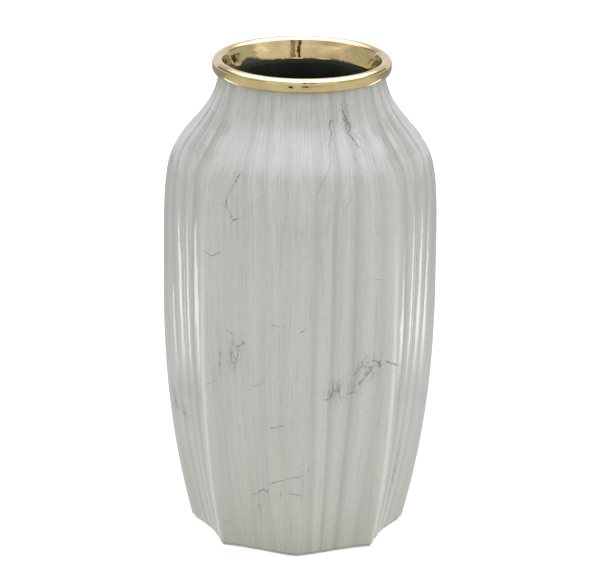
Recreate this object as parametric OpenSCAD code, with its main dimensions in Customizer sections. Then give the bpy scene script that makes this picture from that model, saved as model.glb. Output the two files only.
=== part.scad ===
// Fluted porcelain vase with a rolled gold lip.
// Millimetres, +Z up, origin on the table under the middle of the foot, front crest towards -Y.

/* [Overall size] */
// Height from the table to the top of the lip
vase_h = 250; // [220:1:300]
// Widest diameter, across the crests of the flutes
belly_d = 140; // [125:1:170]
// Height of the widest place
belly_z = 130; // [100:1:150]
// Diameter across the crests at the foot
foot_d = 109; // [95:1:120]
// How long the side stays upright above the foot before it turns in
foot_curve = 2.25; // [1.8:0.05:3]

/* [Neck and lip] */
// Outer diameter that the neck narrows to
neck_d = 81; // [80:0.5:84]
// Distance from the top of the lip down to the middle of the shoulder
shoulder_drop = 35.5; // [30:0.5:45]
// Softness of the shoulder, a larger number for a longer slope
shoulder_soft = 9.4; // [8:0.1:11]
// Outer diameter of the rolled lip
lip_d = 91; // [90:0.5:93]
// Width of the lip from outside to inside
lip_w = 5.7; // [5:0.1:6]
// Height of the lip
lip_h = 7.8; // [7:0.1:9]
// Diameter of the narrowest part of the throat
throat_d = 72; // [70:0.5:74]
// Distance from the top of the lip down to the narrowest part, over which the mouth tapers
throat_drop = 10; // [9:0.5:12]
// Height of the straight part at the bottom of the throat
throat_land = 2.5; // [2:0.5:4]

/* [Flutes] */
// Angle from the front crest to the next crest on each side
front_flute_angle = 44; // [40:0.5:50]
// Depth of the two front and two back flutes at the foot, as a share of the radius
front_flute_depth = 0.08; // [0:0.005:0.1]
// Depth of the four side flutes at the foot, as a share of the radius
side_flute_depth = 0.117; // [0:0.005:0.13]
// How quickly the flutes fade on the way up to the neck
flute_fade = 1.4; // [1:0.1:3]

/* [Wall and foot] */
// Thickness of the porcelain wall
wall = 4; // [3:0.1:5]
// Thickness of the dark coat that lines the inside
coat_t = 0.5; // [0.4:0.1:1]
// Thickness of the gold band inside the mouth
band_t = 0.5; // [0.4:0.1:0.6]
// Height of the bare ring that the vase stands on
ring_h = 1.2; // [1:0.1:2]
// Width of the bare ring
ring_w = 5; // [4:0.5:7]
// How far the bottom is recessed inside the ring
recess = 2; // [1:0.5:4]
// Thickness of the bottom
floor_t = 5; // [4:0.5:7]
// Radius of the round corner between the inner floor and the wall
floor_fillet = 8; // [5:0.5:12]

/* [Hidden] */
$fn = 96;

// Lip levels; the lip has a round top and a round bottom, and wraps over the top of the neck
lip_r = lip_w / 2;
lip_mid_r = lip_d / 2 - lip_r;
lip_high_z = vase_h - lip_r;
lip_low_z = vase_h - lip_h + lip_r;
lip_wrap = 0.5;
neck_top_z = lip_low_z - lip_wrap * lip_r;
shoulder_z = vase_h - shoulder_drop;

// Throat levels; the taper runs from the narrowest part up to where it just touches the round top of the lip
throat_r = throat_d / 2;
throat_z = vase_h - throat_drop;
throat_bottom_z = throat_z - throat_land;
lip_offset = [lip_mid_r - throat_r, lip_high_z - throat_z];
throat_lean = atan2(lip_offset.x, lip_offset.y) - asin(lip_r / norm(lip_offset));
throat_top_z = lip_high_z + lip_r * sin(throat_lean);
throat_run = 14;

// Foot levels
ring_inset = 1;
ring_hole_inset = ring_inset + ring_w;
recess_slope = 1;
bottom_z = ring_h + recess;
floor_z = bottom_z + floor_t;
wall_foot_z = floor_z + floor_fillet;

// Fineness of the lofted surfaces; rows_crowd packs the rows closer towards the shoulder and neck
columns_per_flute = 10;
outer_rows = 24;
inner_rows = 14;
fillet_rows = 4;
rows_crowd = 1.6;
columns = 8 * columns_per_flute;

// Angles of the eight crests, from the front and round towards +X
crests = [for (turn = [0, 180]) each [turn, turn + front_flute_angle, turn + 90, turn + 180 - front_flute_angle]];

function crest_angle(i) = i < 8 ? crests[i] : 360 + crests[i - 8];
function is_front_flute(i) = i % 4 == 0 || i % 4 == 3;

// Radius over the crests at height z: a power curve up to the belly, then a soft step in to the neck
function side_r(z) = (belly_d - (belly_d - foot_d) * pow(max(0, 1 - z / belly_z), foot_curve)) / 2;
function crest_r(z) = neck_d / 2 + (side_r(z) - neck_d / 2) / (1 + exp((z - shoulder_z) / shoulder_soft));

// Share of the flute depth that is left at height z: all of it at the foot, none at the throat
function flute_share(z) = pow(max(0, 1 - z / throat_z), flute_fade);

// Inner radius of the throat at height z
function taper_r(z) = throat_r + max(0, z - throat_z) * tan(throat_lean);

// Thickness of the wall at height z: even up the vase, then growing in towards the throat
function throat_share(z) = pow(max(0, 1 - (throat_bottom_z - z) / throat_run), 2);
function wall_at(z) = wall + (crest_r(z) - wall - throat_r - band_t) * throat_share(z);

// Angle of a column, and its depth factor: 0 on a crest and 1 in the middle of a flute
function column_flute(c) = floor(c / columns_per_flute);
function column_part(c) = (c % columns_per_flute) / columns_per_flute;
function column_angle(c) =
    let (i = column_flute(c))
    crest_angle(i) + column_part(c) * (crest_angle(i + 1) - crest_angle(i));
function column_depth(c) =
    let (p = 2 * column_part(c) - 1)
    (is_front_flute(column_flute(c)) ? front_flute_depth : side_flute_depth) * (1 - p * p);

// A point at radius r on a column; angle 0 is the front
function on_column(c, r, z) = [r * sin(column_angle(c)), -r * cos(column_angle(c)), z];

// Ring of points on the outer surface at height z, moved inwards by inset, and set at height at_z
function outer_ring(z, inset, at_z) =
    [for (c = [0:columns - 1]) on_column(c, crest_r(z) * (1 - flute_share(z) * column_depth(c)) - inset, at_z)];

// Plain round ring that stays outside radius r even at the middle of its widest facet
widest_facet = (90 - front_flute_angle) / columns_per_flute;
function clear_ring(r, z) = [for (c = [0:columns - 1]) on_column(c, r / cos(widest_facet / 2), z)];

// Height of row k of a number of rows between low and high
function row_z(low, high, k, rows) = high - (high - low) * pow(1 - k / rows, rows_crowd);

// The inner surface, from under the gold band down to the floor, moved inwards by skin
function inner_rings(skin) = concat(
    [clear_ring(throat_r + band_t - skin, throat_bottom_z)],
    [for (k = [inner_rows - 1:-1:0])
        let (z = row_z(wall_foot_z, throat_bottom_z, k, inner_rows))
        outer_ring(z, wall_at(z) + skin, z)],
    [for (k = [1:fillet_rows])
        let (a = 90 * k / fillet_rows, r = floor_fillet - skin)
        outer_ring(wall_foot_z, wall + floor_fillet - r * cos(a), wall_foot_z - r * sin(a))]
);

// Closed solid through a list of rings, closed by a point at each end
module loft(first_tip, rings, last_tip) {
    n = len(rings[0]);
    last = len(rings) - 1;
    tips = n * len(rings);
    points = concat([for (ring = rings) each ring], [first_tip, last_tip]);
    first_fan = [for (c = [0:n - 1]) [tips, c, (c + 1) % n]];
    last_fan = [for (c = [0:n - 1]) [tips + 1, last * n + (c + 1) % n, last * n + c]];
    sides = [for (k = [0:last - 1], c = [0:n - 1])
        let (a = k * n + c, b = k * n + (c + 1) % n)
        each [[a, a + n, b], [b, a + n, b + n]]];
    polyhedron(points, concat(first_fan, sides, last_fan));
}

// Slip-cast shell with its bottom, from the recess underneath, up the outside and down the inside
module porcelain_body() {
    recess_rings = [
        outer_ring(0, ring_hole_inset + recess_slope, bottom_z),
        outer_ring(0, ring_hole_inset, ring_h)
    ];
    outer_rings = [for (k = [0:outer_rows])
        let (z = row_z(ring_h, neck_top_z, k, outer_rows))
        outer_ring(z, 0, z)];
    neck_rings = [for (z = [neck_top_z, throat_z]) clear_ring(taper_r(z) + band_t, z)];
    color([0.80, 0.80, 0.78])
        loft([0, 0, bottom_z], concat(recess_rings, outer_rings, neck_rings, inner_rings(0)), [0, 0, floor_z]);
}

// Rolled lip on top of the neck, filled in as far as the gold band behind it
module gold_lip() {
    neck_top_r = crest_r(neck_top_z);
    band_at_neck_r = taper_r(neck_top_z) + band_t;
    band_at_lip_r = taper_r(lip_high_z) + band_t;
    color([0.84, 0.72, 0.45])
        rotate_extrude()
            difference() {
                union() {
                    translate([lip_mid_r, lip_high_z])
                        circle(r = lip_r);
                    translate([lip_mid_r, lip_low_z])
                        circle(r = lip_r);
                    translate([lip_mid_r - lip_r, lip_low_z])
                        square([lip_w, lip_high_z - lip_low_z]);
                    polygon([
                        [band_at_neck_r, neck_top_z],
                        [lip_mid_r, neck_top_z],
                        [lip_mid_r, lip_high_z],
                        [band_at_lip_r, lip_high_z]
                    ]);
                }
                translate([0, neck_top_z - lip_h])
                    square([neck_top_r, lip_h]);
                polygon([
                    [0, throat_z],
                    [throat_r + band_t, throat_z],
                    [taper_r(throat_top_z) + band_t, throat_top_z],
                    [0, throat_top_z]
                ]);
            }
}

// Gold band inside the mouth: a taper that ends in a short straight part, the true opening
module gold_throat_band() {
    top_r = taper_r(throat_top_z);
    color([0.78, 0.66, 0.40])
        rotate_extrude()
            polygon([
                [throat_r, throat_bottom_z],
                [throat_r + band_t, throat_bottom_z],
                [throat_r + band_t, throat_z],
                [top_r + band_t, throat_top_z],
                [top_r, throat_top_z],
                [throat_r, throat_z]
            ]);
}

// Dark coat over the inner floor and wall, up to the gold band
module inner_glaze() {
    outside = inner_rings(0);
    inside = inner_rings(coat_t);
    inwards = [for (k = [len(inside) - 1:-1:0]) inside[k]];
    color([0.10, 0.11, 0.10])
        loft([0, 0, floor_z + coat_t], concat(inwards, outside), [0, 0, floor_z]);
}

// Bare ring under the bottom that follows the fluted outline
module foot_ring() {
    color([0.86, 0.84, 0.79])
        linear_extrude(height = ring_h)
            difference() {
                polygon([for (p = outer_ring(0, ring_inset, 0)) [p.x, p.y]]);
                polygon([for (p = outer_ring(0, ring_hole_inset, 0)) [p.x, p.y]]);
            }
}

porcelain_body();
gold_lip();
gold_throat_band();
inner_glaze();
foot_ring();
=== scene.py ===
import math

import bpy
import numpy as np
from mathutils import Matrix, Vector


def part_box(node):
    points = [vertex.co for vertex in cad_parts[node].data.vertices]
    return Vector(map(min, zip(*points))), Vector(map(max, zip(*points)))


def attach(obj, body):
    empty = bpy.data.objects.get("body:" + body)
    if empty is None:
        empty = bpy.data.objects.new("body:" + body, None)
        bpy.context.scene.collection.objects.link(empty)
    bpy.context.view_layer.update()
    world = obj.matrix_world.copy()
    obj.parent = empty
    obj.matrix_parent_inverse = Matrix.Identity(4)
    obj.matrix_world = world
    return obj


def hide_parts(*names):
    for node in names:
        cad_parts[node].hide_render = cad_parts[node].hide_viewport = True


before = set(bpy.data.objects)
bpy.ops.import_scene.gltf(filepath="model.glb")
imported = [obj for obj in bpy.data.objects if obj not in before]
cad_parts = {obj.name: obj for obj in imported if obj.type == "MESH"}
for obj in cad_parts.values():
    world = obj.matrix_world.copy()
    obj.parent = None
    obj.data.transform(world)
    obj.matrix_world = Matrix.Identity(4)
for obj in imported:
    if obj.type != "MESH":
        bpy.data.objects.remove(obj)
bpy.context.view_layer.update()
MM = 0.001

# ---------------------------------------------------------------- shape, in millimetres and degrees
# Angle 0 is the front, -Y, and angles grow towards +X. The profile is the CAD part's, and the pleats, the
# fuller shoulder and the sharper front corners are added to it.
FOOT_D = 109.0
BELLY_Z = 130.0
FOOT_CURVE = 2.25
NECK_R = 40.5
SHOULDER_Z = 214.5
SHOULDER_SOFT = 9.4
FLUTE_FADE = 1.4
WALL = 4.0
COAT = 0.5
BAND = 0.5
RING_H = 1.2
RING_INSET = 1.0
RING_W = 5.0
BOTTOM_Z = 3.2
FLOOR_Z = 8.2
FLOOR_FILLET = 8.0
LIP_ROLL_R = 2.85
THROAT_R = 36.0
THROAT_Z = 240.0
THROAT_RUN = 14.0

# Levels and radii taken from the CAD pieces, kept just inside their outlines
INSIDE = 0.02
LIP_LOW, LIP_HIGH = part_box("gold_lip")
BAND_LOW, BAND_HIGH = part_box("gold_throat_band")
_, BODY_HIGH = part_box("porcelain_body")
BELLY_R = BODY_HIGH.x / MM - INSIDE
NECK_TOP_Z = BODY_HIGH.z / MM
THROAT_BOTTOM_Z = BAND_LOW.z / MM
THROAT_TOP_Z = BAND_HIGH.z / MM - INSIDE
LIP_TOP_Z = LIP_HIGH.z / MM - INSIDE
LIP_MID_R = LIP_HIGH.x / MM - INSIDE - LIP_ROLL_R
LIP_HIGH_Z = LIP_TOP_Z - LIP_ROLL_R
LIP_LOW_Z = LIP_LOW.z / MM + INSIDE + LIP_ROLL_R
# The taper of the throat just touches the round top of the lip
THROAT_LEAN = math.atan2(LIP_MID_R - THROAT_R, LIP_HIGH_Z - THROAT_Z) - math.asin(
    LIP_ROLL_R / math.hypot(LIP_MID_R - THROAT_R, LIP_HIGH_Z - THROAT_Z)
)

# Points round the pieces, and rows of points down them; rows crowd towards the neck
COLUMNS = 720
PLAIN_COLUMNS = 360
OUTER_ROWS = 110
ROWS_CROWD = 1.25
SHELL_WALL_ROWS = 8
LINING_ROWS = 40
LINING_BACK_ROWS = 14
THROAT_ROWS = 34
# Edges that turn more sharply than this are shaded as edges
SHARP_TURN = 50

# Half of the flutes, from the front crest round one side to the back crest. The other half mirrors them,
# but for the wandering of the grooves. Each flute holds pleats, divided by narrow grooves. The places of the
# grooves are given from the flute's first crest, at the belly and at the neck, and their depths as shares.
FLUTES = (
    dict(
        start=0, end=44, depth=0.084,
        belly=(7, 14.3, 24, 37), neck=(10, 20, 30, 40), depths=(0.7, 0.9, 1, 0.6),
    ),
    dict(
        start=44, end=90, depth=0.117,
        belly=(7, 15, 27, 37), neck=(12, 22, 33, 40), depths=(1, 0.75, 0.7, 0.5),
    ),
    dict(
        start=90, end=136, depth=0.117,
        belly=(9, 19, 31, 39), neck=(6, 14, 25, 36), depths=(0.7, 1.1, 1, 1),
    ),
    dict(
        start=136, end=180, depth=0.08,
        belly=(7.5, 20.5, 30, 37), neck=(6, 16, 27, 36), depths=(0.8, 1, 1, 0.9),
    ),
)
# The crests at the front and back are rounded folds, and the others are sharper
CREST_SOFTNESS = {0: 4.5, 44: 0.5, 90: 1.4, 136: 0.9, 180: 3.0}
# The pleats left of the front crest are fainter than the rest, most of all below the shoulder
QUIET_FLUTE = -1
QUIET_HEIGHTS = (0, 150, 225)
QUIET_SHARES = (0.35, 0.25, 0.7)
# Groove depth at heights up the vase
GROOVE_HEIGHTS = (0, 40, 100, 140, 190, 215, 235, 244)
GROOVE_DEPTHS = (0.36, 0.42, 0.58, 0.70, 0.88, 0.90, 0.62, 0.30)
# How rounded the bottom of a groove is, as a share of its reach
GROOVE_SOFTNESS = 0.10
# Grooves stand closer to the crest at the foot, and spread out evenly between these heights
FOOT_CLOSENESS = 0.92
SPREAD_FROM = 175
SPREAD_TO = 240
# They wander sideways on the way up: by how much, over what height, and how much of their own phase they add
WANDERS = ((0.22, 31, 1), (0.12, 13, 2.3))
PHASE_PER_FLUTE = 1.7
PHASE_PER_SIDE = 0.9
# The shoulder is a little fuller than in the CAD
FULLNESS = 1.25
FULLNESS_Z = 206.0
FULLNESS_REACH = 14.0
# The crests beside the front stand out as sharp corners at the foot
CORNER = 0.9
CORNER_ANGLE = 44.0
CORNER_WIDTH = 3.5
CORNER_REACH = 45.0
# The taper of the throat eases into its straight part over this height
THROAT_EASE = 0.6
# Under the gold band the inner wall turns from round to fluted over this height, and at the bottom it
# turns into the floor through these angles
WALL_DROP = 1.0
FILLET_TURNS = (30, 60, 90)
# Radii of the rings of the recessed bottom, and the height over which the outside rounds in to the foot ring
UNDERSIDE_RADII = (2.0, 24.0, 38.0)
EDGE_HEIGHT = 1.0


def soft_distance(distance, softness):
    """Distance from a crest, flattened close to it so that the crest is rounded."""
    return np.sqrt(distance * distance + softness * softness) - softness


def crest_radius(z):
    """Radius over the crests at height z: a power curve up to the belly, then a soft step in to the neck."""
    side = BELLY_R - (BELLY_R - FOOT_D / 2) * np.maximum(0, 1 - z / BELLY_Z) ** FOOT_CURVE
    return NECK_R + (side - NECK_R) / (1 + np.exp((z - SHOULDER_Z) / SHOULDER_SOFT))


def flute_share(z):
    """Share of the flute depth that is left at height z."""
    return np.maximum(0, 1 - z / THROAT_Z) ** FLUTE_FADE


def smooth_step(value, low, high):
    """From 0 at low to 1 at high, with a soft start and end."""
    t = np.clip((value - low) / (high - low), 0, 1)
    return t * t * (3 - 2 * t)


def scallop(angle, flute):
    """How far a flute is cut in at an angle, as a share of the radius at the foot."""
    from_start = soft_distance(angle - flute["start"], CREST_SOFTNESS[flute["start"]])
    to_end = soft_distance(flute["end"] - angle, CREST_SOFTNESS[flute["end"]])
    width = flute["end"] - flute["start"]
    return 4 * flute["depth"] * from_start * to_end / width ** 2


def groove_angle(flute, index, z, phase):
    """Angle of one groove at height z: closer to the crest at the foot, spread evenly at the neck."""
    at_foot = flute["belly"][index] * FOOT_CLOSENESS
    low = at_foot + (flute["belly"][index] - at_foot) * smooth_step(z, 0, BELLY_Z)
    offset = low + (flute["neck"][index] - low) * smooth_step(z, SPREAD_FROM, SPREAD_TO)
    wander = sum(size * np.sin(z / reach + own * phase) for size, reach, own in WANDERS)
    return flute["start"] + offset + wander


def grooves(angle, z, flute, phase):
    """How deep in the grooves of one flute each point lies, from 0 on a pleat to about 1."""
    count = len(flute["belly"])
    lines = [groove_angle(flute, k, z, phase + k) for k in range(count)]
    stops = [flute["start"] + 0 * z] + lines + [flute["end"] + 0 * z]
    cut = np.zeros_like(angle)
    for k in range(count):
        before = stops[k + 1] - stops[k]
        after = stops[k + 2] - stops[k + 1]
        reach_before = before if k == 0 else before / 2
        reach_after = after if k == count - 1 else after / 2
        offset = angle - lines[k]
        reach = np.where(offset < 0, reach_before, reach_after)
        distance = np.sqrt(offset * offset + (GROOVE_SOFTNESS * reach) ** 2) / reach
        cut += flute["depths"][k] * np.maximum(0, 1 - distance) ** 2
    return cut


def pleat_phase(number, hand):
    """Where the wander of a flute's grooves starts, so that no two flutes wander alike."""
    return PHASE_PER_FLUTE * number + PHASE_PER_SIDE * hand


def plain_radius(angle, z):
    """Radius of the outside without its pleats, at an angle from -180 to 180 and a height."""
    turned = np.abs(angle)
    scallops = np.zeros_like(angle)
    for flute in FLUTES:
        inside = (turned >= flute["start"]) & (turned <= flute["end"])
        scallops = np.where(inside, scallop(turned, flute), scallops)
    return crest_radius(z) * (1 - flute_share(z) * scallops)


def groove_field(angle, z):
    """How deep in a groove between pleats each point of the outside lies, from 0 to about 1."""
    side = np.where(angle < 0, -1, 1)
    turned = np.abs(angle)
    field = np.zeros_like(angle)
    for number, flute in enumerate(FLUTES):
        inside = (turned >= flute["start"]) & (turned <= flute["end"])
        for hand in (-1, 1):
            quiet = hand == QUIET_FLUTE and number == 0
            strength = np.interp(z, QUIET_HEIGHTS, QUIET_SHARES) if quiet else 1
            cut = strength * grooves(turned, z, flute, pleat_phase(number, hand))
            field = np.where(inside & (side == hand), cut, field)
    return field


def outer_radius(angle, z):
    """Radius of the outside with its pleats, its full shoulder and its front corners."""
    cut = groove_field(angle, z) * np.interp(z, GROOVE_HEIGHTS, GROOVE_DEPTHS)
    fullness = FULLNESS * np.exp(-((z - FULLNESS_Z) / FULLNESS_REACH) ** 2)
    corner = CORNER * np.exp(-np.abs(np.abs(angle) - CORNER_ANGLE) / CORNER_WIDTH - z / CORNER_REACH)
    return plain_radius(angle, z) + fullness + corner - cut


def pleat_stops(height, hand):
    """Angles of all the crests and grooves of one side at a height, from the front to the back."""
    stops = [0.0]
    for number, flute in enumerate(FLUTES):
        count = len(flute["belly"])
        stops += [float(groove_angle(flute, k, height, pleat_phase(number, hand) + k)) for k in range(count)]
        stops.append(float(flute["end"]))
    return stops


def fan_angle(angle, z):
    """The angle at the belly of the pleat line through each point, so that streaks follow the pleats."""
    heights, row = np.unique(np.round(z, 2), return_inverse=True)
    order = np.argsort(row, kind="stable")
    rows = np.split(order, np.cumsum(np.bincount(row))[:-1])
    fanned = np.zeros_like(angle)
    for height, points in zip(heights, rows):
        here = angle[points]
        left = -np.interp(-here, pleat_stops(height, -1), pleat_stops(BELLY_Z, -1))
        right = np.interp(here, pleat_stops(height, 1), pleat_stops(BELLY_Z, 1))
        fanned[points] = np.where(here < 0, left, right)
    return fanned


def taper_radius(z):
    """Inner radius of the gold throat: a taper that eases into a short straight part."""
    over = z - THROAT_Z
    eased = (over + np.sqrt(over * over + THROAT_EASE * THROAT_EASE)) / 2
    return THROAT_R + math.tan(THROAT_LEAN) * eased


def wall_at(z):
    """Thickness of the wall: even up the vase, then growing in towards the throat."""
    share = np.maximum(0, 1 - (THROAT_BOTTOM_Z - z) / THROAT_RUN) ** 2
    return WALL + (crest_radius(z) - WALL - THROAT_R - BAND) * share


# ---------------------------------------------------------------- mesh building
def ring_angles(columns):
    return np.arange(columns) * 360.0 / columns - 180.0


def place(angle, radius, z):
    """Points at an angle, radius and height."""
    turn = np.radians(angle)
    return np.stack([radius * np.sin(turn), -radius * np.cos(turn), z + 0 * angle], axis=-1)


def body_ring(columns, z, inset=0.0, at_z=None):
    """One ring round the outside at height z, moved inwards by inset and set at height at_z."""
    angle = ring_angles(columns)
    radius = outer_radius(angle, np.full_like(angle, float(z))) - inset
    return place(angle, radius, z if at_z is None else at_z)


def plain_ring(columns, z, inset, at_z=None):
    """One ring round the outside without its pleats, moved inwards by inset and set at height at_z."""
    angle = ring_angles(columns)
    radius = plain_radius(angle, np.full_like(angle, float(z))) - inset
    return place(angle, radius, z if at_z is None else at_z)


def round_ring(columns, radius, z):
    angle = ring_angles(columns)
    return place(angle, radius + 0 * angle, z)


def make_mesh(name, rings, tips=None, closed_section=False):
    """A piece through a list of rings, closed by a point at each end or from the last ring to the first."""
    columns = len(rings[0])
    points = np.concatenate(rings)
    column = np.arange(columns)
    beside = (column + 1) % columns
    faces = []
    pairs = [(k, k + 1) for k in range(len(rings) - 1)]
    if closed_section:
        pairs.append((len(rings) - 1, 0))
    for low, high in pairs:
        near = low * columns
        far = high * columns
        quads = np.stack([near + column, near + beside, far + beside, far + column], axis=-1)
        faces.extend(quads.tolist())
    if tips is not None:
        first = len(points)
        last = first + 1
        top = (len(rings) - 1) * columns
        points = np.concatenate([points, np.array(tips, float)])
        faces.extend(np.stack([np.full(columns, first), beside, column], axis=-1).tolist())
        faces.extend(np.stack([np.full(columns, last), top + column, top + beside], axis=-1).tolist())
    mesh = bpy.data.meshes.new(name)
    mesh.from_pydata((points * MM).tolist(), [], faces)
    mesh.polygons.foreach_set("use_smooth", [True] * len(mesh.polygons))
    mesh.set_sharp_from_angle(angle=math.radians(SHARP_TURN))
    mesh.update()
    piece = bpy.data.objects.new(name, mesh)
    bpy.context.scene.collection.objects.link(piece)
    return piece


def arc(centre, radius, start, end, steps):
    """Points (r, z) along an arc, angles in degrees from +r towards +z."""
    turns = np.radians(np.linspace(start, end, steps))
    return [(centre[0] + radius * math.cos(a), centre[1] + radius * math.sin(a)) for a in turns]


# ---------------------------------------------------------------- the pieces
def body_rows():
    """Heights of the rings of the outside, from the foot to the neck."""
    share = np.arange(OUTER_ROWS + 1) / OUTER_ROWS
    low = RING_H + EDGE_HEIGHT
    return NECK_TOP_Z - (NECK_TOP_Z - low) * (1 - share) ** ROWS_CROWD


def underside_rings(columns):
    """The recessed bottom, the inside of the foot and the rounded bottom edge."""
    hole = RING_INSET + RING_W
    recess = ((2.5, BOTTOM_Z), (1.2, BOTTOM_Z - 0.25), (0.3, BOTTOM_Z - 0.9), (0.0, RING_H))
    edge = ((RING_INSET + 0.2, RING_H), (0.75, RING_H + 0.02), (0.35, RING_H + 0.2), (0.1, RING_H + 0.55))
    rings = [round_ring(columns, radius, BOTTOM_Z) for radius in UNDERSIDE_RADII]
    rings += [body_ring(columns, 0, hole + inset, z) for inset, z in recess]
    rings += [body_ring(columns, 0, inset, z) for inset, z in edge]
    return rings


def wall_rings(columns, skin, rows):
    """The inner surface from under the gold band down to the floor, moved inwards by skin."""
    top = THROAT_BOTTOM_Z - INSIDE
    foot = FLOOR_Z + FLOOR_FILLET
    fillet = FLOOR_FILLET - skin
    rings = [round_ring(columns, THROAT_R + BAND - skin, top)]
    rings += [plain_ring(columns, z, wall_at(z) + skin) for z in np.linspace(top - WALL_DROP, foot, rows)]
    for turn in np.radians(FILLET_TURNS):
        inset = WALL + FLOOR_FILLET - fillet * math.cos(turn)
        rings.append(plain_ring(columns, foot, inset, foot - fillet * math.sin(turn)))
    return rings


def make_shell():
    rings = underside_rings(COLUMNS)
    rings += [body_ring(COLUMNS, z) for z in body_rows()]
    rings += [
        round_ring(COLUMNS, float(taper_radius(NECK_TOP_Z)) + BAND, NECK_TOP_Z),
        round_ring(COLUMNS, THROAT_R + BAND, THROAT_Z),
    ]
    rings += wall_rings(COLUMNS, 0.0, SHELL_WALL_ROWS)
    return make_mesh("marble_shell", rings, ((0, 0, BOTTOM_Z), (0, 0, FLOOR_Z)))


def make_lining():
    skin = wall_rings(PLAIN_COLUMNS, COAT, LINING_ROWS)
    back = wall_rings(PLAIN_COLUMNS, INSIDE, LINING_BACK_ROWS)
    rings = back[::-1] + skin
    floor_in = (0, 0, FLOOR_Z + INSIDE)
    floor_out = (0, 0, FLOOR_Z + COAT)
    return make_mesh("dark_lining", rings, (floor_in, floor_out))


# How far the hand-rolled lip runs out of true, from 0 to about 1: a middle share with waves round it
LIP_WANDER = 0.5
# Waves that go round the vase: size, how many, and where they start
LIP_WAVES = ((0.22, 2, 0.6), (0.16, 3, 2.1), (0.12, 5, 4.0))
EDGE_WAVES = ((0.25, 3, 1.0), (0.18, 7, 2.0), (0.12, 17, 0.0))
# How far the lip gives way outside and on top where it runs most out of true
LIP_SIDE_PLAY = 0.25
LIP_TOP_PLAY = 0.2
# The lower roll of the lip ends at this turn, just short of where its side stands upright
LIP_WAIST_TURN = -6
LIP_LOW_STEPS = 20
LIP_HIGH_STEPS = 44


def with_waves(level, angle, waves):
    """A level with waves that go round the vase added to it."""
    turn = np.radians(angle)
    for size, count, start in waves:
        level = level + size * np.sin(count * turn + start)
    return level


def make_lip():
    angle = ring_angles(PLAIN_COLUMNS)
    neck_r = float(crest_radius(LIP_LOW_Z - LIP_ROLL_R)) + INSIDE
    under = math.degrees(math.acos((LIP_MID_R - neck_r) / LIP_ROLL_R))
    over = 180 - math.degrees(THROAT_LEAN)
    section = arc((LIP_MID_R, LIP_LOW_Z), LIP_ROLL_R, under - 180, LIP_WAIST_TURN, LIP_LOW_STEPS)
    section += arc((LIP_MID_R, LIP_HIGH_Z), LIP_ROLL_R, 0, over, LIP_HIGH_STEPS)
    behind = BAND + INSIDE
    section += [
        (float(taper_radius(THROAT_TOP_Z)) + behind, THROAT_TOP_Z),
        (float(taper_radius(NECK_TOP_Z)) + behind, NECK_TOP_Z + INSIDE),
        (neck_r, NECK_TOP_Z + INSIDE),
    ]
    wander = with_waves(LIP_WANDER, angle, LIP_WAVES)
    rings = []
    for radius, z in section:
        height = max(0.0, (z - THROAT_TOP_Z) / (LIP_TOP_Z - THROAT_TOP_Z))
        out = max(0.0, (radius - LIP_MID_R) / LIP_ROLL_R)
        rings.append(place(angle, radius - LIP_SIDE_PLAY * out * wander, z - LIP_TOP_PLAY * height * wander))
    return make_mesh("gold_roll", rings, closed_section=True)


# The brushed lower edge of the gold: its height, and where it runs higher or lower, as angle, width and rise
BRUSHED_EDGE_Z = 239.7
BRUSHED_RUNS = (
    (-105, 9, 2.8), (-132, 11, 3.0), (-119, 4, -0.6), (122, 10, -0.8), (104, 7, 2.0), (178, 20, 0.3),
)
# Ripples of the throat: size, how many go round, and how far they turn with height
THROAT_RIPPLES = ((0.05, 5, 0.35), (0.02, 13, 0.6))
# The ripples fade out over this height, and stop this far above the bottom of the band
RIPPLE_FADE = 2.0
RIPPLE_STOP = 1.0


def throat_edge(angle):
    """Height of the brushed lower edge of the gold inside the mouth."""
    edge = with_waves(BRUSHED_EDGE_Z, angle, EDGE_WAVES)
    for centre, width, rise in BRUSHED_RUNS:
        edge = edge + rise * np.exp(-((angle - centre) / width) ** 2)
    return edge


def throat_ripple(angle, z):
    """Slight unevenness of the hand-finished throat, always away from the opening, in millimetres."""
    turn = np.radians(angle)
    return sum(size * (1 + np.sin(count * turn + climb * z)) for size, count, climb in THROAT_RIPPLES)


def make_throat():
    angle = ring_angles(COLUMNS)
    top = THROAT_TOP_Z - INSIDE
    inner = []
    for z in np.linspace(top, THROAT_BOTTOM_Z, THROAT_ROWS):
        fade_low = max(0.0, (z - THROAT_BOTTOM_Z - RIPPLE_STOP) / RIPPLE_FADE)
        fade = min(1.0, (top - z) / RIPPLE_FADE, fade_low)
        inner.append(place(angle, taper_radius(z) + fade * throat_ripple(angle, z), z))
    outer = [
        round_ring(COLUMNS, THROAT_R + BAND - INSIDE, THROAT_BOTTOM_Z),
        round_ring(COLUMNS, THROAT_R + BAND - INSIDE, THROAT_Z),
        round_ring(COLUMNS, float(taper_radius(top)) + BAND - INSIDE, top),
    ]
    piece = make_mesh("gold_throat", inner + outer, closed_section=True)
    angle, _, z = places(piece)
    store_fields(piece, dict(above_edge=z - throat_edge(angle)))
    return piece


def make_foot():
    """The bare ring under the bottom, with its lower edges rubbed round."""
    outside = RING_INSET
    inside = RING_INSET + RING_W
    corner = 0.35
    flat = 0.9
    rise = 0.05
    section = (
        (inside, RING_H), (inside, corner), (inside - corner, rise), (inside - flat, 0.0),
        (outside + flat, 0.0), (outside + corner, rise), (outside, corner), (outside, RING_H),
    )
    rings = [body_ring(COLUMNS, 0, inset, z) for inset, z in section]
    return make_mesh("biscuit_foot", rings, closed_section=True)


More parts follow.
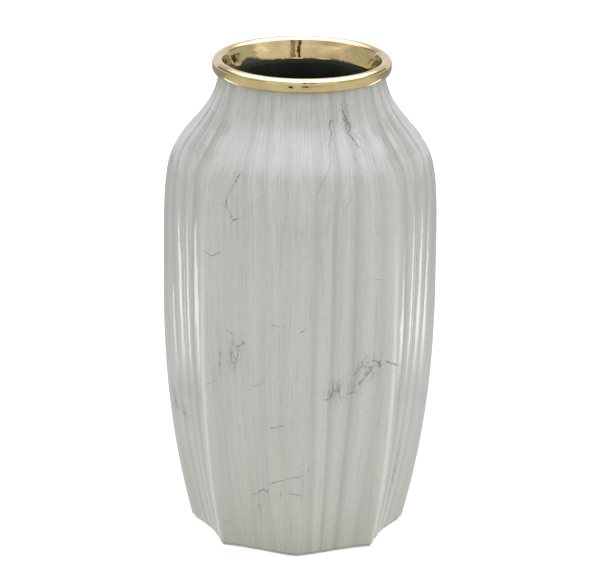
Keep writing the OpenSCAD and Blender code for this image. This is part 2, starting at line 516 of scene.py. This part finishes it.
# ---------------------------------------------------------------- fields stored on the points of a piece
def places(piece):
    """Angle, radius and height of every point of a piece, in degrees and millimetres."""
    mesh = piece.data
    co = np.zeros(len(mesh.vertices) * 3)
    mesh.vertices.foreach_get("co", co)
    co = co.reshape(-1, 3) / MM
    return np.degrees(np.arctan2(co[:, 0], -co[:, 1])), np.hypot(co[:, 0], co[:, 1]), co[:, 2]


def store_fields(piece, fields):
    for name, values in fields.items():
        attribute = piece.data.attributes.new(name, "FLOAT", "POINT")
        attribute.data.foreach_set("value", values.astype(np.float32))


# ---------------------------------------------------------------- veins in the glaze
# Each stroke: darkness from 0 to 1, half width, then points as (angle, height), in degrees and millimetres.
VEINS = (
    # The hook at the left of the shoulder
    (1.0, 0.42, ((-28, 205), (-30, 200))),
    (0.5, 0.20, ((-30, 200), (-33, 192))),
    (1.0, 0.40, ((-33, 192), (-33, 188))),
    (0.5, 0.20, ((-32, 188), (-29, 183))),
    (0.9, 0.34, ((-29, 182), (-27, 183))),
    (0.18, 0.22, ((-25, 184), (-20, 190), (-10, 205))),
    (0.14, 0.22, ((-33, 192), (-43, 182))),
    # The scribbled cluster at the right of the neck
    (0.8, 0.26, ((27, 236), (28, 230))),
    (1.0, 0.60, ((28, 232), (31, 225))),
    (0.9, 0.42, ((28, 230), (28, 222))),
    (1.0, 0.46, ((31, 225), (29, 222), (31, 217))),
    (0.4, 0.22, ((27, 213), (29, 207))),
    # The long faint line beside it
    (0.9, 0.36, ((19, 229), (17, 226), (18, 224), (15, 217))),
    (0.35, 0.28, ((15, 217), (14, 210), (7, 198))),
    (0.5, 0.20, ((22, 194), (20, 191))),
    # Small strokes below the shoulder
    (0.7, 0.24, ((-43, 163), (-39, 161), (-35, 164))),
    (0.5, 0.22, ((34, 151), (37, 150))),
    (0.8, 0.34, ((59, 154), (60, 154))),
    # The band of strokes that climbs to the right at mid height
    (1.0, 0.36, ((47, 102), (40, 106))),
    (1.0, 0.46, ((38, 105), (34, 108))),
    (0.7, 0.42, ((34, 108), (29, 107), (25, 102))),
    (0.45, 0.34, ((37, 111), (30, 111), (26, 106))),
    (0.75, 0.55, ((37, 104), (34, 105), (27, 96))),
    (0.7, 0.95, ((32, 104), (29, 100))),
    (0.8, 0.36, ((26, 92), (22, 92))),
    (0.7, 0.34, ((19, 101), (18, 95), (15, 93))),
    (0.9, 0.34, ((15, 98), (15, 93), (13, 90))),
    (1.0, 0.65, ((14, 91), (12, 90))),
    # Flecks at the front, left of the middle
    (0.5, 0.26, ((-11, 130), (-6, 129))),
    (0.8, 0.32, ((1, 127), (2, 128))),
    (1.0, 0.45, ((-24, 118), (-24, 119))),
    (1.0, 0.45, ((-27, 115), (-27, 116))),
    (0.7, 0.32, ((-30, 115), (-30, 107), (-28, 106), (-26, 116))),
    (0.6, 0.24, ((-32, 124), (-29, 122))),
    (0.7, 0.32, ((-35, 112), (-36, 100))),
    (0.5, 0.24, ((-21, 95), (-15, 98))),
    (0.4, 0.20, ((-43, 92), (-38, 95))),
    (0.7, 0.26, ((-12, 74), (-6, 76))),
    # Two lines low down at the front
    (0.8, 0.28, ((-22, 34), (-17, 38), (-15, 37))),
    (0.8, 0.26, ((-13, 42), (-7, 45))),
    (0.7, 0.24, ((-5, 46), (2, 48))),
    (1.0, 0.62, ((-8, 36), (-8, 37))),
    (0.6, 0.24, ((-4, 38), (2, 37))),
    (0.5, 0.24, ((5, 54), (5, 50))),
    (0.4, 0.20, ((-41, 14), (-35, 17))),
    # Left and right edges
    (0.7, 0.40, ((-72, 200), (-73, 203))),
    (1.0, 0.90, ((-81, 69), (-79, 65))),
    (0.9, 0.60, ((-73, 65), (-65, 67))),
    # The back, which is guessed in the same manner
    (0.9, 0.34, ((98, 190), (104, 181), (112, 184))),
    (0.5, 0.24, ((112, 184), (117, 172), (131, 168))),
    (0.8, 0.30, ((118, 96), (127, 101), (133, 99))),
    (0.6, 0.26, ((133, 99), (142, 107), (150, 105))),
    (0.9, 0.36, ((165, 206), (160, 196), (166, 188))),
    (0.5, 0.24, ((166, 188), (176, 191))),
    (0.8, 0.30, ((-96, 118), (-104, 112), (-112, 115))),
    (0.7, 0.30, ((-128, 186), (-136, 178), (-150, 170))),
    (0.9, 0.34, ((-158, 72), (-149, 66), (-133, 60))),
    (0.6, 0.26, ((84, 38), (92, 45), (99, 44))),
    (0.7, 0.26, ((-178, 150), (-170, 146), (-165, 149))),
)
# Smudges of grey round the veins: angle, height, half width, half height, and strength from 0 to 1
SMUDGES = (
    (29, 228, 3.5, 7, 0.9),
    (33, 222, 3, 8, 0.6),
    (17, 222, 2.5, 9, 0.4),
    (-30, 204, 2, 3, 0.5),
    (-72, 203, 2, 4, 0.6),
    (-24, 119, 2, 3, 0.5),
    (-29, 111, 3.5, 8, 0.9),
    (-35, 112, 1.5, 8, 0.6),
    (31, 103, 6, 5, 1.0),
    (26, 97, 4, 5, 0.7),
    (17, 94, 7, 5, 1.0),
    (-80, 68, 6, 7, 1.0),
    (-68, 66, 6, 5, 0.9),
    (-8, 36, 1.2, 1.2, 0.9),
    (59, 38, 5, 16, 1.0),
    (-20, 27, 3, 8, 0.4),
    (125, 98, 6, 6, 0.8),
    (-102, 114, 5, 8, 0.8),
    (163, 194, 5, 6, 0.7),
    (-147, 66, 5, 8, 0.8),
)
# Distance from a vein at which it no longer matters
FAR = 40.0
# The sharp crests are painted paler within this many degrees: a painted highlight, partly glaze running thin
# over them
CREST_HIGHLIGHT_WIDTH = 1.2
# Points this much further in than the plain outside are underneath or inside, and have no streaks or veins
UNDERSIDE_INSET = 2.5


def vein_fields(angle, z):
    """The nearest vein to each point: signed and plain distance in millimetres, half width and darkness."""
    near = np.full(angle.shape, FAR)
    across = np.full(angle.shape, FAR)
    half = np.zeros(angle.shape)
    dark = np.zeros(angle.shape)
    around = crest_radius(z)
    for weight, half_width, points in VEINS:
        for (a0, z0), (a1, z1) in zip(points, points[1:]):
            x = np.radians(angle - a0) * around
            y = z - z0
            dx = math.radians(a1 - a0) * around
            dy = z1 - z0
            length = np.hypot(dx, dy)
            t = np.clip((x * dx + y * dy) / length ** 2, 0, 1)
            gap = np.hypot(x - t * dx, y - t * dy)
            closer = gap < near
            side = np.where(x * dy - y * dx < 0, -1, 1)
            near = np.where(closer, gap, near)
            across = np.where(closer, side * gap, across)
            half = np.where(closer, half_width, half)
            dark = np.where(closer, weight, dark)
    return dict(vein_across=across, vein_near=near, vein_half=half, vein_dark=dark)


def crest_highlight_field(angle):
    """How close each point lies to one of the sharp crests, from 0 to 1, for the painted crest highlight."""
    turned = np.abs(angle)
    nearest = np.minimum.reduce([np.abs(turned - flute["end"]) for flute in FLUTES[:-1]])
    return np.exp(-(nearest / CREST_HIGHLIGHT_WIDTH) ** 2)


def smudge_field(angle, z):
    """How strongly each point is smudged, from 0 to 1."""
    around = crest_radius(z)
    total = np.zeros(angle.shape)
    for a, height, half_width, half_height, weight in SMUDGES:
        x = np.radians(angle - a) * around / half_width
        y = (z - height) / half_height
        total = np.maximum(total, weight * np.exp(-(x * x + y * y)))
    return total


def paint_fields(piece):
    """Stores what the glaze needs to know about each point of the outside."""
    angle, radius, z = places(piece)
    outside = np.where(radius > plain_radius(angle, z) - UNDERSIDE_INSET, 1.0, 0.0)
    fanned = np.radians(fan_angle(angle, z))
    fields = vein_fields(angle, z)
    fields["vein_dark"] *= outside
    fields["smudge"] = outside * smudge_field(angle, z)
    # The groove field carries the painted shade in the grooves, and the crest field the painted highlight on
    # the crests
    fields["groove"] = outside * groove_field(angle, z)
    fields["crest"] = outside * crest_highlight_field(angle)
    fields["fan_x"] = outside * np.sin(fanned)
    fields["fan_y"] = outside * -np.cos(fanned)
    fields["height"] = z / LIP_TOP_Z
    store_fields(piece, fields)


# ---------------------------------------------------------------- materials
class Nodes:
    """Short calls for building one material's nodes."""

    def __init__(self, name):
        self.material = bpy.data.materials.new(name)
        self.material.use_nodes = True
        self.tree = self.material.node_tree
        self.shader = self.tree.nodes["Principled BSDF"]
        self.coordinates = self.tree.nodes.new("ShaderNodeTexCoord").outputs["Object"]

    def link(self, source, target):
        self.tree.links.new(source, target)

    def set(self, socket, value):
        """Sets a socket to a value, or links it where the value is an output of a node."""
        if hasattr(value, "is_output"):
            self.link(value, socket)
        else:
            socket.default_value = value

    def give(self, name, value):
        """Sets an input of the shader, or links it."""
        self.set(self.shader.inputs[name], value)

    def noise(self, scale, detail=2.0, rough=0.5, along=None):
        """Noise over the object, or over the vector given, with scale as cycles per metre or per unit."""
        mapping = self.tree.nodes.new("ShaderNodeMapping")
        mapping.inputs["Scale"].default_value = scale
        self.link(self.coordinates if along is None else along, mapping.inputs["Vector"])
        node = self.tree.nodes.new("ShaderNodeTexNoise")
        self.link(mapping.outputs["Vector"], node.inputs["Vector"])
        node.inputs["Scale"].default_value = 1.0
        node.inputs["Detail"].default_value = detail
        node.inputs["Roughness"].default_value = rough
        return node.outputs["Fac"]

    def vector(self, x, y, z):
        node = self.tree.nodes.new("ShaderNodeCombineXYZ")
        for socket, value in zip(node.inputs, (x, y, z)):
            self.set(socket, value)
        return node.outputs[0]

    def axis(self, name):
        node = self.tree.nodes.new("ShaderNodeSeparateXYZ")
        self.link(self.coordinates, node.inputs[0])
        return node.outputs[name]

    def math(self, operation, a, b=0.0):
        node = self.tree.nodes.new("ShaderNodeMath")
        node.operation = operation
        for socket, value in zip(node.inputs, (a, b)):
            self.set(socket, value)
        return node.outputs[0]

    def fit(self, value, low, high, to_low=0.0, to_high=1.0, smooth=True):
        """Maps low..high of a value to to_low..to_high."""
        node = self.tree.nodes.new("ShaderNodeMapRange")
        node.interpolation_type = "SMOOTHSTEP" if smooth else "LINEAR"
        names = ("Value", "From Min", "From Max", "To Min", "To Max")
        for name, amount in zip(names, (value, low, high, to_low, to_high)):
            self.set(node.inputs[name], amount)
        return node.outputs["Result"]

    def mix(self, share, first, second):
        """A colour between two, all the second where share is 1."""
        node = self.tree.nodes.new("ShaderNodeMix")
        node.data_type = "RGBA"
        self.set(node.inputs[0], share)
        self.set(node.inputs[6], first)
        self.set(node.inputs[7], second)
        return node.outputs[2]

    def field(self, name):
        node = self.tree.nodes.new("ShaderNodeAttribute")
        node.attribute_name = name
        return node.outputs["Fac"]

    def bump(self, height, distance, under=None):
        node = self.tree.nodes.new("ShaderNodeBump")
        node.inputs["Distance"].default_value = distance
        node.inputs["Strength"].default_value = 1.0
        self.link(height, node.inputs["Height"])
        if under is not None:
            self.link(under, node.inputs["Normal"])
        return node.outputs["Normal"]


def rgba(red, green, blue):
    return (red, green, blue, 1.0)


def even(cycles):
    """A noise scale that is the same every way."""
    return (cycles, cycles, cycles)


GLAZE_BASE = rgba(0.560, 0.575, 0.540)
GLAZE_DRIFT = rgba(0.59, 0.602, 0.57)
GLAZE_PALE = rgba(0.66, 0.67, 0.64)
GLAZE_CREAM = rgba(0.63, 0.61, 0.52)
GLAZE_ROSE = rgba(0.585, 0.55, 0.52)
# Pale of the sharp crests: a painted highlight, partly thin glaze
THIN_GLAZE_AND_CREST_HIGHLIGHT = rgba(0.80, 0.81, 0.77)
# Grey of the marble streaks and specks, also used as painted shade in the grooves
GREY_STREAK_AND_SHADE = rgba(0.39, 0.395, 0.37)
VEIN_GREY = rgba(0.095, 0.099, 0.108)
# Dark band just above the foot: painted shade where the vase meets the floor, partly the edge of the glaze
FOOT_EDGE_AND_SHADE = rgba(0.12, 0.12, 0.09)
# How much of the vein colour shows in the veins, and how strong smudges are beside them
MARK_STRENGTH = 0.72
SMUDGE_STRENGTH = 0.75


def vein_mask(nodes):
    """Thin uneven dark lines along the vein fields, gone everywhere but close to a vein."""
    slow = nodes.fit(nodes.noise(even(330)), 0.3, 0.7, -0.35, 0.35, smooth=False)
    quick = nodes.fit(nodes.noise(even(1500)), 0.3, 0.7, -0.12, 0.12, smooth=False)
    swing = nodes.math("ADD", slow, quick)
    across = nodes.math("ABSOLUTE", nodes.math("ADD", nodes.field("vein_across"), swing))
    thick = nodes.fit(nodes.noise(even(450), detail=3), 0.32, 0.68, 0.35, 1.35)
    half = nodes.math("MULTIPLY", thick, nodes.field("vein_half"))
    line = nodes.fit(across, nodes.math("MULTIPLY", half, 0.4), nodes.math("ADD", half, 0.28), 1.0, 0.0)
    close = nodes.fit(nodes.field("vein_near"), 0.9, 1.6, 1.0, 0.0)
    breaks = nodes.fit(nodes.noise(even(620)), 0.36, 0.46, 0.35, 1.0)
    shape = nodes.math("MULTIPLY", line, close)
    darkness = nodes.math("MULTIPLY", breaks, nodes.field("vein_dark"))
    return nodes.math("MULTIPLY", shape, darkness)


def smudge_mask(nodes):
    """Flecks of grey, drawn out upright, inside the smudges."""
    flecks = nodes.fit(nodes.noise((900, 900, 240), detail=3, rough=0.6), 0.40, 0.62)
    return nodes.math("MULTIPLY", flecks, nodes.field("smudge"))


def marble_colour(nodes, fan, height):
    """Pale grey with cream, rose and grey streaks along the pleats."""
    drift = nodes.noise((22, 22, 14), detail=3)
    folds = nodes.noise((9, 9, 1.2), along=fan)
    pale = nodes.noise((30, 30, 1.6), detail=2, along=fan)
    cream = nodes.noise((47, 47, 3.2), detail=2, along=fan)
    rose = nodes.noise((38, 38, 2.2), detail=1, along=fan)
    grey = nodes.noise((55, 55, 9), detail=3, along=fan)
    colour = nodes.mix(nodes.fit(drift, 0.35, 0.65), GLAZE_BASE, GLAZE_DRIFT)
    colour = nodes.mix(nodes.fit(folds, 0.4, 0.7, 0.0, 0.35), colour, GLAZE_PALE)
    colour = nodes.mix(nodes.fit(pale, 0.48, 0.66, 0.0, 0.45), colour, GLAZE_PALE)
    creamy = nodes.fit(height, 0.05, 0.40, 1.0, 0.65)
    colour = nodes.mix(nodes.math("MULTIPLY", nodes.fit(cream, 0.52, 0.66), creamy), colour, GLAZE_CREAM)
    colour = nodes.mix(nodes.fit(height, 0.0, 0.22, 0.40, 0.0), colour, GLAZE_CREAM)
    colour = nodes.mix(nodes.fit(rose, 0.60, 0.70, 0.0, 0.45), colour, GLAZE_ROSE)
    return nodes.mix(nodes.fit(grey, 0.54, 0.72, 0.0, 0.35), colour, GREY_STREAK_AND_SHADE)


def pleat_shade_and_highlight_colour(nodes, colour, fan, height):
    """Painted shade in the grooves, partly glaze pooling there, combed streaks at the neck, and a painted
    highlight on the sharp crests, partly glaze running thin there.
    """
    # Painted shade in the grooves, partly glaze pooling there
    groove_shade = nodes.math("MULTIPLY", nodes.math("POWER", nodes.field("groove"), 1.3), 0.75)
    colour = nodes.mix(groove_shade, colour, GREY_STREAK_AND_SHADE)
    fine = nodes.noise((95, 95, 20), detail=3, along=fan)
    combed = nodes.fit(height, 0.60, 0.92, 0.0, 0.55)
    colour = nodes.mix(nodes.math("MULTIPLY", nodes.fit(fine, 0.45, 0.68), combed), colour, GREY_STREAK_AND_SHADE)
    # Painted highlight along the sharp crests, partly glaze running thin there, fading out up the shoulder
    crest_highlight = nodes.math("MULTIPLY", nodes.field("crest"), nodes.fit(height, 0.45, 0.80, 0.95, 0.0))
    return nodes.mix(crest_highlight, colour, THIN_GLAZE_AND_CREST_HIGHLIGHT)


def marked_colour(nodes, colour, height):
    """With fine specks, a dark band just above the foot that is painted shade where the vase meets the floor
    and partly the edge where the glaze ends, and the veins and smudges.
    """
    speck = nodes.noise((1100, 1100, 700), detail=3)
    colour = nodes.mix(nodes.fit(speck, 0.42, 0.7, 0.0, 0.22), colour, GREY_STREAK_AND_SHADE)
    # Painted shade where the vase meets the floor: a dark band just above the foot ring, partly the edge of
    # the glaze
    foot_shade = nodes.fit(height, 0.005, 0.010, 0.95, 0.0)
    colour = nodes.mix(foot_shade, colour, FOOT_EDGE_AND_SHADE)
    smudges = nodes.math("MULTIPLY", smudge_mask(nodes), SMUDGE_STRENGTH)
    marks = nodes.math("MAXIMUM", vein_mask(nodes), smudges)
    return nodes.mix(nodes.math("MULTIPLY", marks, MARK_STRENGTH), colour, VEIN_GREY)


def marble_glaze():
    nodes = Nodes("marble_glaze")
    height = nodes.field("height")
    fan = nodes.vector(nodes.field("fan_x"), nodes.field("fan_y"), height)
    colour = marble_colour(nodes, fan, height)
    colour = pleat_shade_and_highlight_colour(nodes, colour, fan, height)
    nodes.give("Base Color", marked_colour(nodes, colour, height))
    gloss = nodes.fit(nodes.noise((60, 60, 30), detail=3), 0.3, 0.7, 0.07, 0.12)
    nodes.give("Roughness", gloss)
    ripple = nodes.noise((90, 90, 30), detail=2)
    pebble = nodes.noise((900, 900, 500), detail=2)
    low = nodes.bump(ripple, 0.0003)
    nodes.give("Normal", nodes.bump(pebble, 0.00002, under=low))
    return nodes.material


GOLD_BRIGHT = rgba(0.70, 0.575, 0.30)
GOLD_WORN = rgba(0.63, 0.50, 0.24)
GOLD_THIN = rgba(0.42, 0.31, 0.12)
DARK_GREEN = rgba(0.055, 0.060, 0.049)
DARK_LIGHTER = rgba(0.078, 0.084, 0.070)
# The dark glaze reflects less than the usual 0.5
DARK_SPECULAR = 0.2


def gold_colour(nodes):
    wear = nodes.noise(even(140), detail=4)
    return nodes.mix(nodes.fit(wear, 0.35, 0.7), GOLD_BRIGHT, GOLD_WORN)


def gold_lustre():
    nodes = Nodes("gold_lustre")
    nodes.give("Base Color", gold_colour(nodes))
    nodes.give("Metallic", 1.0)
    gloss = nodes.fit(nodes.noise(even(300), detail=3), 0.35, 0.7, 0.05, 0.12)
    nodes.give("Roughness", gloss)
    ripple = nodes.noise(even(160), detail=2)
    nodes.give("Normal", nodes.bump(ripple, 0.00010))
    return nodes.material


def brushed_gold():
    """Gold lustre with a hand-brushed lower edge, over the dark glaze of the throat."""
    nodes = Nodes("brushed_gold")
    ragged = nodes.fit(nodes.noise(even(420), detail=3), 0.3, 0.7, -0.35, 0.35, smooth=False)
    above = nodes.math("ADD", nodes.field("above_edge"), ragged)
    gilt = nodes.fit(above, -0.08, 0.08)
    thin = nodes.fit(above, 0.0, 0.9)
    gold = nodes.mix(thin, GOLD_THIN, gold_colour(nodes))
    nodes.give("Base Color", nodes.mix(gilt, DARK_GREEN, gold))
    nodes.give("Metallic", gilt)
    gloss = nodes.fit(nodes.noise(even(300), detail=3), 0.35, 0.7, 0.06, 0.14)
    nodes.give("Roughness", nodes.math("ADD", gloss, nodes.fit(gilt, 0, 1, 0.2, 0.0)))
    nodes.give("Specular IOR Level", DARK_SPECULAR)
    ripple = nodes.noise(even(160), detail=2)
    nodes.give("Normal", nodes.bump(ripple, 0.00012))
    return nodes.material


def dark_glaze():
    nodes = Nodes("dark_glaze")
    cloud = nodes.noise(even(60), detail=4)
    colour = nodes.mix(nodes.fit(cloud, 0.35, 0.7), DARK_GREEN, DARK_LIGHTER)
    nodes.give("Base Color", colour)
    gloss = nodes.fit(nodes.noise((120, 120, 60), detail=3), 0.3, 0.7, 0.22, 0.35)
    nodes.give("Roughness", gloss)
    nodes.give("Specular IOR Level", DARK_SPECULAR)
    nodes.give("Normal", nodes.bump(nodes.noise((160, 160, 80), detail=3), 0.0003))
    return nodes.material


BISCUIT = rgba(0.66, 0.63, 0.56)
BISCUIT_STAINED = rgba(0.55, 0.51, 0.44)


def bare_porcelain():
    nodes = Nodes("bare_porcelain")
    cloud = nodes.noise(even(110), detail=4)
    colour = nodes.mix(nodes.fit(cloud, 0.35, 0.7), BISCUIT, BISCUIT_STAINED)
    nodes.give("Base Color", colour)
    nodes.give("Roughness", 0.75)
    grain = nodes.noise(even(2600), detail=4)
    nodes.give("Normal", nodes.bump(grain, 0.00008))
    return nodes.material


# ---------------------------------------------------------------- putting the vase together
def fit_out(piece, material, node):
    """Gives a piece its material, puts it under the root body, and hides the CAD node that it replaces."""
    piece.data.materials.append(material)
    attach(piece, "root")
    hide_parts(node)


def make_vase():
    gold = gold_lustre()
    shell = make_shell()
    paint_fields(shell)
    fit_out(shell, marble_glaze(), "porcelain_body")
    fit_out(make_lip(), gold, "gold_lip")
    fit_out(make_throat(), brushed_gold(), "gold_throat_band")
    fit_out(make_lining(), dark_glaze(), "inner_glaze")
    fit_out(make_foot(), bare_porcelain(), "foot_ring")


# ---------------------------------------------------------------- studio
def reflections_only(thing):
    """Shows a thing of the studio in reflections and nowhere else."""
    thing.visible_camera = False
    thing.visible_diffuse = False
    thing.visible_shadow = False
    thing.visible_transmission = False


def make_board(name, corners, glow=0.0, colour=(1, 1, 1)):
    """A flat matt board of the studio, from its corners in metres, and the node set of its material."""
    mesh = bpy.data.meshes.new(name)
    mesh.from_pydata(corners, [], [tuple(range(len(corners)))])
    return stage_mesh(name, mesh, glow, colour)


def stage_mesh(name, mesh, glow=0.0, colour=(1, 1, 1)):
    """A matt glowing thing of the studio, and the node set of its material."""
    board = bpy.data.objects.new(name, mesh)
    bpy.context.scene.collection.objects.link(board)
    nodes = Nodes(name)
    nodes.give("Base Color", rgba(0, 0, 0))
    nodes.give("Roughness", 0.9)
    nodes.give("Specular IOR Level", 0.0)
    nodes.give("Emission Color", rgba(*colour))
    nodes.give("Emission Strength", glow)
    mesh.materials.append(nodes.material)
    return board, nodes


def level(left, right, front, back, z):
    """Corners of a board that lies flat."""
    return [(left, front, z), (right, front, z), (right, back, z), (left, back, z)]


def upright(left, right, y, low, high):
    """Corners of a board that stands up and faces the vase from in front or behind."""
    return [(left, y, low), (right, y, low), (right, y, high), (left, y, high)]


def make_floor():
    """The white floor of the picture. It glows, so that it looks white, and doesn't light the vase."""
    reach = 8
    glow = 0.62
    floor, nodes = make_board("studio_floor", level(-reach, reach, -reach, reach, 0), glow)
    nodes.give("Base Color", rgba(0.80, 0.80, 0.80))
    floor.visible_diffuse = False


def make_calm_floor():
    """A grey card over the floor that only reflections see, darker behind the vase than in front."""
    half_width = 3.6
    front = -2.54
    back = 2.0
    height = 0.0008
    glow_front = 0.76
    glow_behind = 0.40
    card, nodes = make_board("grey_card", level(-half_width, half_width, front, back, height))
    nodes.give("Emission Strength", nodes.fit(nodes.axis("Y"), 0.05, 0.5, glow_front, glow_behind))
    reflections_only(card)


def make_strip(name, turn):
    """A bright strip on the floor, pointing at the vase and fading towards all its edges."""
    half_turn = 5
    near = 0.19
    far = 0.72
    glow_edge = 0.6
    glow = 3.6
    middle = (near + far) / 2
    half_length = (far - near) / 2
    half_width = middle * math.tan(math.radians(half_turn))
    strip, nodes = make_board(name, level(-half_width, half_width, -half_length, half_length, 0))
    angle = math.radians(turn)
    strip.location = (middle * math.sin(angle), -middle * math.cos(angle), 0.002)
    strip.rotation_euler = (0, 0, angle)
    along = nodes.fit(nodes.math("ABSOLUTE", nodes.axis("Y")), 0.3 * half_length, half_length, 1.0, 0.0)
    across = nodes.fit(nodes.math("ABSOLUTE", nodes.axis("X")), 0.4 * half_width, half_width, 1.0, 0.0)
    share = nodes.math("MULTIPLY", along, across)
    nodes.give("Emission Strength", nodes.fit(share, 0, 1, glow_edge, glow, smooth=False))
    reflections_only(strip)


def make_sky():
    """A big overhead panel, brightest and bluest in the middle, and dimmer on the left."""
    reach = 2.6
    glow_edge = 0.85
    glow_middle = 4.2
    sky, nodes = make_board("sky_panel", level(-reach, reach, -reach, reach, 0))
    sky.location = (0, 0.1, 1.5)
    y = nodes.axis("Y")
    x = nodes.math("MULTIPLY", nodes.axis("X"), 0.6)
    squares = nodes.math("ADD", nodes.math("MULTIPLY", x, x), nodes.math("MULTIPLY", y, y))
    share = nodes.fit(nodes.math("SQRT", squares), 0.55, 1.75, 1.0, 0.0)
    colour = nodes.mix(share, rgba(1.0, 0.95, 1.0), rgba(0.69, 0.66, 1.0))
    nodes.give("Emission Color", colour)
    glow = nodes.fit(share, 0, 1, glow_edge, glow_middle, smooth=False)
    left_share = nodes.fit(nodes.axis("X"), -1.2, -0.2, 0.76, 1.0)
    nodes.give("Emission Strength", nodes.math("MULTIPLY", glow, left_share))
    reflections_only(sky)


def make_arm(name, hand):
    """A dark arm that climbs from behind the vase to beside it, where it pales."""
    reach = 1.2
    half = 5
    glow_beside = 2.0
    glow_behind = 0.04
    turns = (135, 112, 90)
    climbs = (11.5, 24, 34.5)
    low = []
    high = []
    for turn, climb in zip(turns, climbs):
        x = hand * reach * math.sin(math.radians(turn))
        y = -reach * math.cos(math.radians(turn))
        for edge, offset in ((low, -half), (high, half)):
            edge.append((x, y, LIP_TOP_Z * MM + reach * math.tan(math.radians(climb + offset))))
    mesh = bpy.data.meshes.new(name)
    count = len(turns)
    faces = [(k, k + 1, count + k + 1, count + k) for k in range(count - 1)]
    mesh.from_pydata(low + high, [], faces)
    arm, nodes = stage_mesh(name, mesh)
    nodes.give("Emission Strength", nodes.fit(nodes.axis("Y"), 0.0, 0.35, glow_beside, glow_behind))
    return arm


def make_walls():
    """The wall behind the camera and the wall behind the vase, stands and blocks in front, and two arms."""
    reach = 2.6
    away = 2.55
    top = 1.5
    cool = (0.86, 0.85, 1.0)
    warm = (1, 0.8, 0.65)
    pieces = [
        make_board("front_wall", upright(-reach, reach, -away, 0, top), 0.9)[0],
        make_board("back_wall", upright(-reach, reach, away, 0, top), 1.05, cool)[0],
    ]
    # Name, left, right, place along Y, low, high and glow
    stands = (
        ("stand_wide", 0.23, 0.43, -1.2, 0.66, 1.49, 0.30),
        ("stand_thin", 0.03, 0.15, -1.2, 0.66, 1.49, 0.03),
        ("block_left", -0.20, -0.14, -0.7, 0.0, 0.07, 0.03),
        ("block_mid", -0.005, 0.095, -0.7, 0.015, 0.06, 0.03),
        ("block_right", 0.095, 0.33, -0.7, 0.025, 0.045, 0.35),
    )
    for name, left, right, y, low, high, glow in stands:
        pieces.append(make_board(name, upright(left, right, y, low, high), glow, warm)[0])
    pieces += [make_arm("left_arm", -1), make_arm("right_arm", 1)]
    for piece in pieces:
        reflections_only(piece)


def make_light(name, place_at, aim, width, height, radiance, colour=(1, 1, 1)):
    """A soft rectangular light at a point, facing aim, of the given radiance."""
    data = bpy.data.lights.new(name, "AREA")
    data.shape = "RECTANGLE"
    data.size = width
    data.size_y = height
    data.energy = radiance * width * height * math.pi
    data.color = colour
    light = bpy.data.objects.new(name, data)
    bpy.context.scene.collection.objects.link(light)
    light.location = place_at
    direction = Vector(aim) - light.location
    light.rotation_euler = direction.to_track_quat("-Z", "Y").to_euler()
    light.visible_camera = False
    return light


def make_lights():
    """The lights that light the vase itself: from above, from both sides, and up from the table in front."""
    cool = (0.93, 0.95, 1.0)
    fresh = (0.95, 0.98, 1.0)
    lights = [
        make_light("top_softbox", (0, -0.2, 1.4), (0, 0, 0.2), 1.2, 1.2, 1.20, cool),
        make_light("right_fill", (1.3, -0.4, 0.9), (0, 0, 0.18), 0.9, 1.1, 1.50, fresh),
        make_light("left_fill", (-1.2, 0.0, 1.0), (0, 0, 0.2), 0.9, 0.9, 1.25, fresh),
        make_light("table_bounce", (0, -0.7375, 0.0006), (0, -0.7375, 1), 2.4, 1.325, 0.37),
    ]
    for light in lights:
        light.visible_glossy = False


def make_reflections():
    """What the gloss of the vase shows: nothing here lights it otherwise, or is in the picture."""
    make_calm_floor()
    make_sky()
    make_walls()
    make_strip("left_strip", -117)
    make_strip("right_strip", 121)


WORLD_COLOUR = rgba(1, 0.99, 0.97)
WORLD_GLOW = 0.60


def make_world():
    world = bpy.data.worlds.new("studio")
    world.use_nodes = True
    background = world.node_tree.nodes["Background"]
    background.inputs["Color"].default_value = WORLD_COLOUR
    background.inputs["Strength"].default_value = WORLD_GLOW
    bpy.context.scene.world = world


# The camera, fitted to the outline in the photo: place in metres, lens in millimetres, turns in degrees
CAMERA_PLACE = (0, -1.7715, 0.7156)
CAMERA_LENS = 217.8
CAMERA_SENSOR = 36.0
CAMERA_SEES_TO = 50
CAMERA_DOWN = 18.34
CAMERA_ROLL = 0.65


def make_camera():
    camera = bpy.data.objects.new("camera", bpy.data.cameras.new("camera"))
    bpy.context.scene.collection.objects.link(camera)
    camera.data.lens = CAMERA_LENS
    camera.data.sensor_width = CAMERA_SENSOR
    camera.data.clip_end = CAMERA_SEES_TO
    camera.location = CAMERA_PLACE
    pitch = Matrix.Rotation(math.radians(90 - CAMERA_DOWN), 4, "X")
    roll = Matrix.Rotation(math.radians(CAMERA_ROLL), 4, "Z")
    camera.rotation_euler = (pitch @ roll).to_euler()
    bpy.context.scene.camera = camera


make_vase()
make_floor()
make_lights()
make_reflections()
make_world()
make_camera()
bpy.context.scene.view_settings.view_transform = "Standard"
